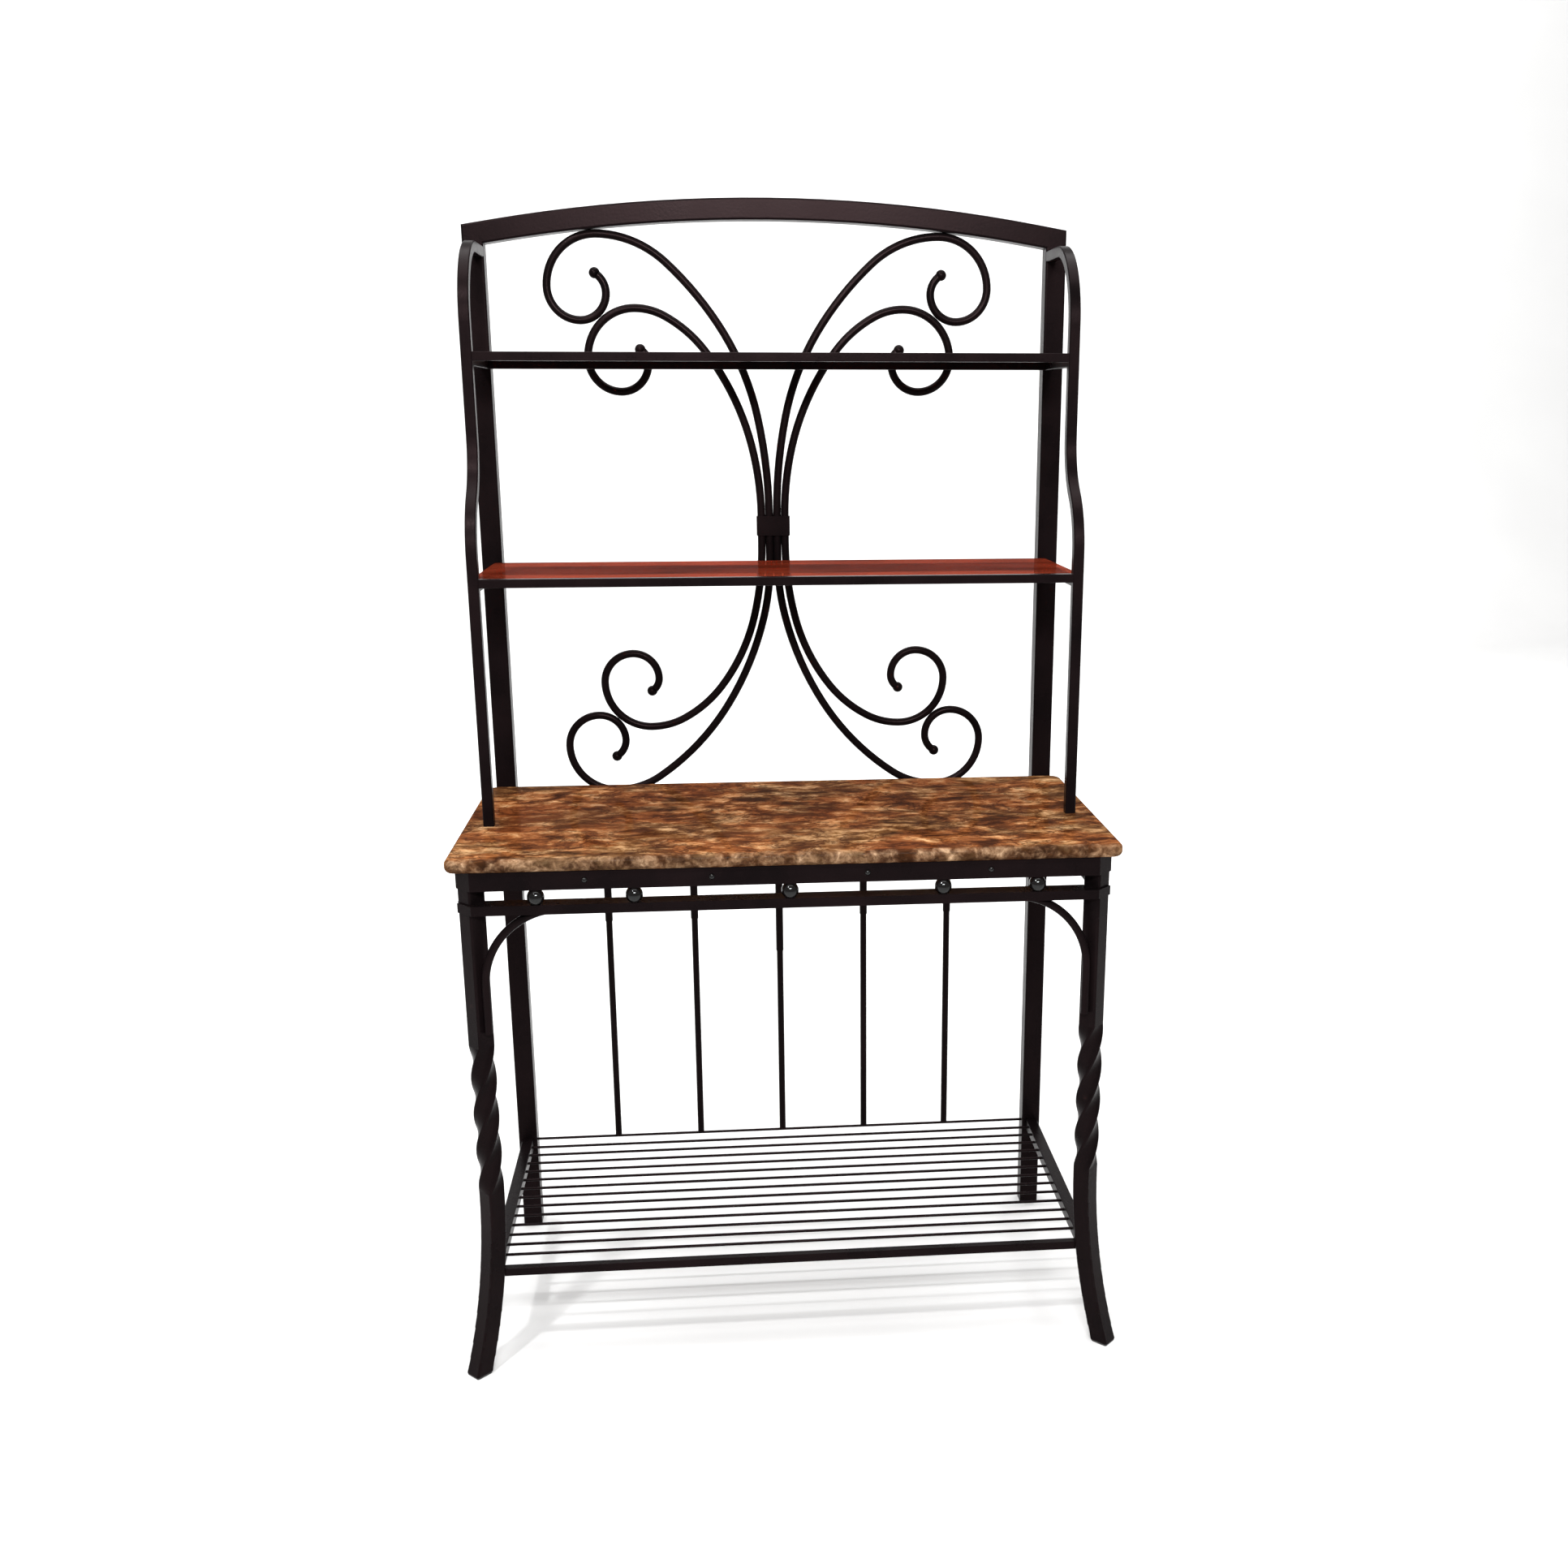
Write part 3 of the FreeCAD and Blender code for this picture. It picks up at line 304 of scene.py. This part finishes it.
def dress_by_slot():
    """Give every CAD node the material of its slot in the record, and return the materials."""
    looks = {
        "frame_paint": powder_coat("frame_powder_coat", **SEMI_GLOSS_COAT),
        "ball_paint": powder_coat("ball_gloss_paint", **GLOSSY_COAT),
        "stone": polished_stone(),
        "shelf_glass": glass_with_painted_reflection(),
        "bumper": clear_plastic(),
        "glide": black_nylon(),
    }
    for part in frame["record"]["subparts"]:
        slots = frame["nodes"][part["node"]].data.materials
        slots.clear()
        slots.append(looks[part["material_slot"]])
    return looks


# ---- pieces ----------------------------------------------------------------------------------

def add_bar(mesh, low, high, rounding):
    """A straight bar between two opposite corners, with its long edges rounded."""
    corners = bmesh.ops.create_cube(mesh, size=1.0)["verts"]
    spans = [end - start for start, end in zip(low, high)]
    for vertex in corners:
        vertex.co = Vector([start + (unit + 0.5) * span for start, unit, span in zip(low, vertex.co, spans)])
    longest = spans.index(max(spans))
    long_edges = []
    for edge in mesh.edges:
        first, second = edge.verts
        if first in corners and abs((first.co - second.co)[longest]) > rounding:
            long_edges.append(edge)
    bmesh.ops.bevel(mesh, geom=long_edges, offset=rounding, segments=3, profile=0.5, affect="EDGES")


def add_steel_piece(name, mesh, material):
    """A painted steel piece on the rack's own body."""
    data = bpy.data.meshes.new(name)
    mesh.to_mesh(data)
    mesh.free()
    data.materials.append(material)
    piece = bpy.data.objects.new(name, data)
    bpy.context.scene.collection.objects.link(piece)
    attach(piece, "rack")
    return piece


def lower_shelf_rails(material):
    """Square side tubes from the rear posts to the front legs, and a thinner bar between them in front."""
    tube = 0.019
    tube_x = 0.4515
    tube_bottom = 0.1503
    tube_back = 0.2228
    tube_rounding = 0.0012
    bar = 0.0127
    bar_y = -0.2007
    bar_top = 0.1585
    bar_rounding = 0.001
    bar_sunk = 0.0015
    bar_half = tube_x - tube / 2 + bar_sunk
    bar_front = bar_y - bar / 2
    mesh = bmesh.new()
    for side in (-1, 1):
        centre = side * tube_x
        add_bar(mesh, (centre - tube / 2, bar_front, tube_bottom),
                (centre + tube / 2, tube_back, tube_bottom + tube), tube_rounding)
    add_bar(mesh, (-bar_half, bar_front, bar_top - bar), (bar_half, bar_front + bar, bar_top), bar_rounding)
    piece = add_steel_piece("lower_shelf_rails", mesh, material)
    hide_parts("lower_shelf_frame")


def lower_rail_ledges(material):
    """The deep part of the lower rails' flanges, behind the balls, at the front and on both sides."""
    wall = 0.003
    top = 0.7400
    bottom = top - wall
    front_near, front_far = -0.2175, -0.2001
    front_half = 0.4328
    side_inner, side_outer = 0.4405, 0.4579
    side_near, side_far = -0.1862, 0.2226
    rounding = 0.0006
    mesh = bmesh.new()
    add_bar(mesh, (-front_half, front_near, bottom), (front_half, front_far, top), rounding)
    for left, right in ((side_inner, side_outer), (-side_outer, -side_inner)):
        add_bar(mesh, (left, side_near, bottom), (right, side_far, top), rounding)
    add_steel_piece("lower_rail_ledges", mesh, material)


# ---- studio ----------------------------------------------------------------------------------

def white_paper():
    """Matt white paper with a faint drift in its tone."""
    g = Graph("studio_white")
    tone = g.noise(g.place(), scale=1.2, detail=2.0)
    g.surface(Base_Color=g.greys(tone, [(0.3, 0.68), (0.7, 0.71)]), Roughness=0.9)
    return g.material


def studio_floor():
    """A pale sweep: a flat floor that bends up into a far wall."""
    bend_start = FLOOR_RUN - WALL_BEND
    profile = [(-FLOOR_RUN, 0.0), (bend_start, 0.0)]
    for step in range(1, BEND_STEPS + 1):
        angle = math.radians(90 * step / BEND_STEPS)
        profile.append((bend_start + WALL_BEND * math.sin(angle), WALL_BEND - WALL_BEND * math.cos(angle)))
    profile.append((FLOOR_RUN, WALL_HEIGHT))
    vertices = [(x, y, z) for y, z in profile for x in (-FLOOR_HALF, FLOOR_HALF)]
    faces = [(2 * i, 2 * i + 1, 2 * i + 3, 2 * i + 2) for i in range(len(profile) - 1)]
    mesh = bpy.data.meshes.new("studio_floor")
    mesh.from_pydata(vertices, [], faces)
    mesh.polygons.foreach_set("use_smooth", [True] * len(faces))
    mesh.materials.append(white_paper())
    floor = bpy.data.objects.new("studio_floor", mesh)
    bpy.context.scene.collection.objects.link(floor)


def area_light(name, place, target, size, watts):
    """A rectangular light that the camera itself doesn't see."""
    light = bpy.data.lights.new(name, "AREA")
    light.shape = "RECTANGLE"
    light.size, light.size_y = size
    light.energy = watts
    holder = bpy.data.objects.new(name, light)
    holder.location = place
    holder.rotation_euler = (Vector(target) - Vector(place)).to_track_quat("-Z", "Y").to_euler()
    holder.visible_camera = False
    bpy.context.scene.collection.objects.link(holder)


def studio_lights():
    """Soft white light from above and in front, with a plain tone curve that keeps white as white."""
    bpy.context.scene.view_settings.view_transform = "Standard"
    world = bpy.data.worlds.new("studio_world")
    world.use_nodes = True
    background = world.node_tree.nodes["Background"]
    background.inputs["Color"].default_value = (*WORLD_COLOUR, 1)
    background.inputs["Strength"].default_value = WORLD_STRENGTH
    bpy.context.scene.world = world
    for name, (place, target, size, watts) in LIGHTS.items():
        area_light(name, place, target, size, watts)


def photo_camera():
    """The photograph's viewing angle, from the fitted position, yaw and pitch."""
    camera = bpy.data.cameras.new("photo_camera")
    camera.sensor_width = SENSOR_MM
    camera.lens = SENSOR_MM * FOCAL_PIXELS / PHOTO_PIXELS
    centre = PHOTO_PIXELS / 2
    camera.shift_x = (centre - PRINCIPAL_PIXEL[0]) / PHOTO_PIXELS
    camera.shift_y = (PRINCIPAL_PIXEL[1] - centre) / PHOTO_PIXELS
    forward = Vector((math.sin(CAMERA_YAW) * math.cos(CAMERA_PITCH),
                      math.cos(CAMERA_YAW) * math.cos(CAMERA_PITCH), -math.sin(CAMERA_PITCH)))
    right = Vector((math.cos(CAMERA_YAW), -math.sin(CAMERA_YAW), 0))
    up = right.cross(forward)
    turn = Matrix((right, up, -forward)).transposed().to_4x4()
    holder = bpy.data.objects.new("photo_camera", camera)
    holder.matrix_world = Matrix.Translation(CAMERA_PLACE) @ turn
    bpy.context.scene.collection.objects.link(holder)
    bpy.context.scene.camera = holder


materials = dress_by_slot()
lower_shelf_rails(materials["frame_paint"])
lower_rail_ledges(materials["frame_paint"])
studio_floor()
studio_lights()
photo_camera()
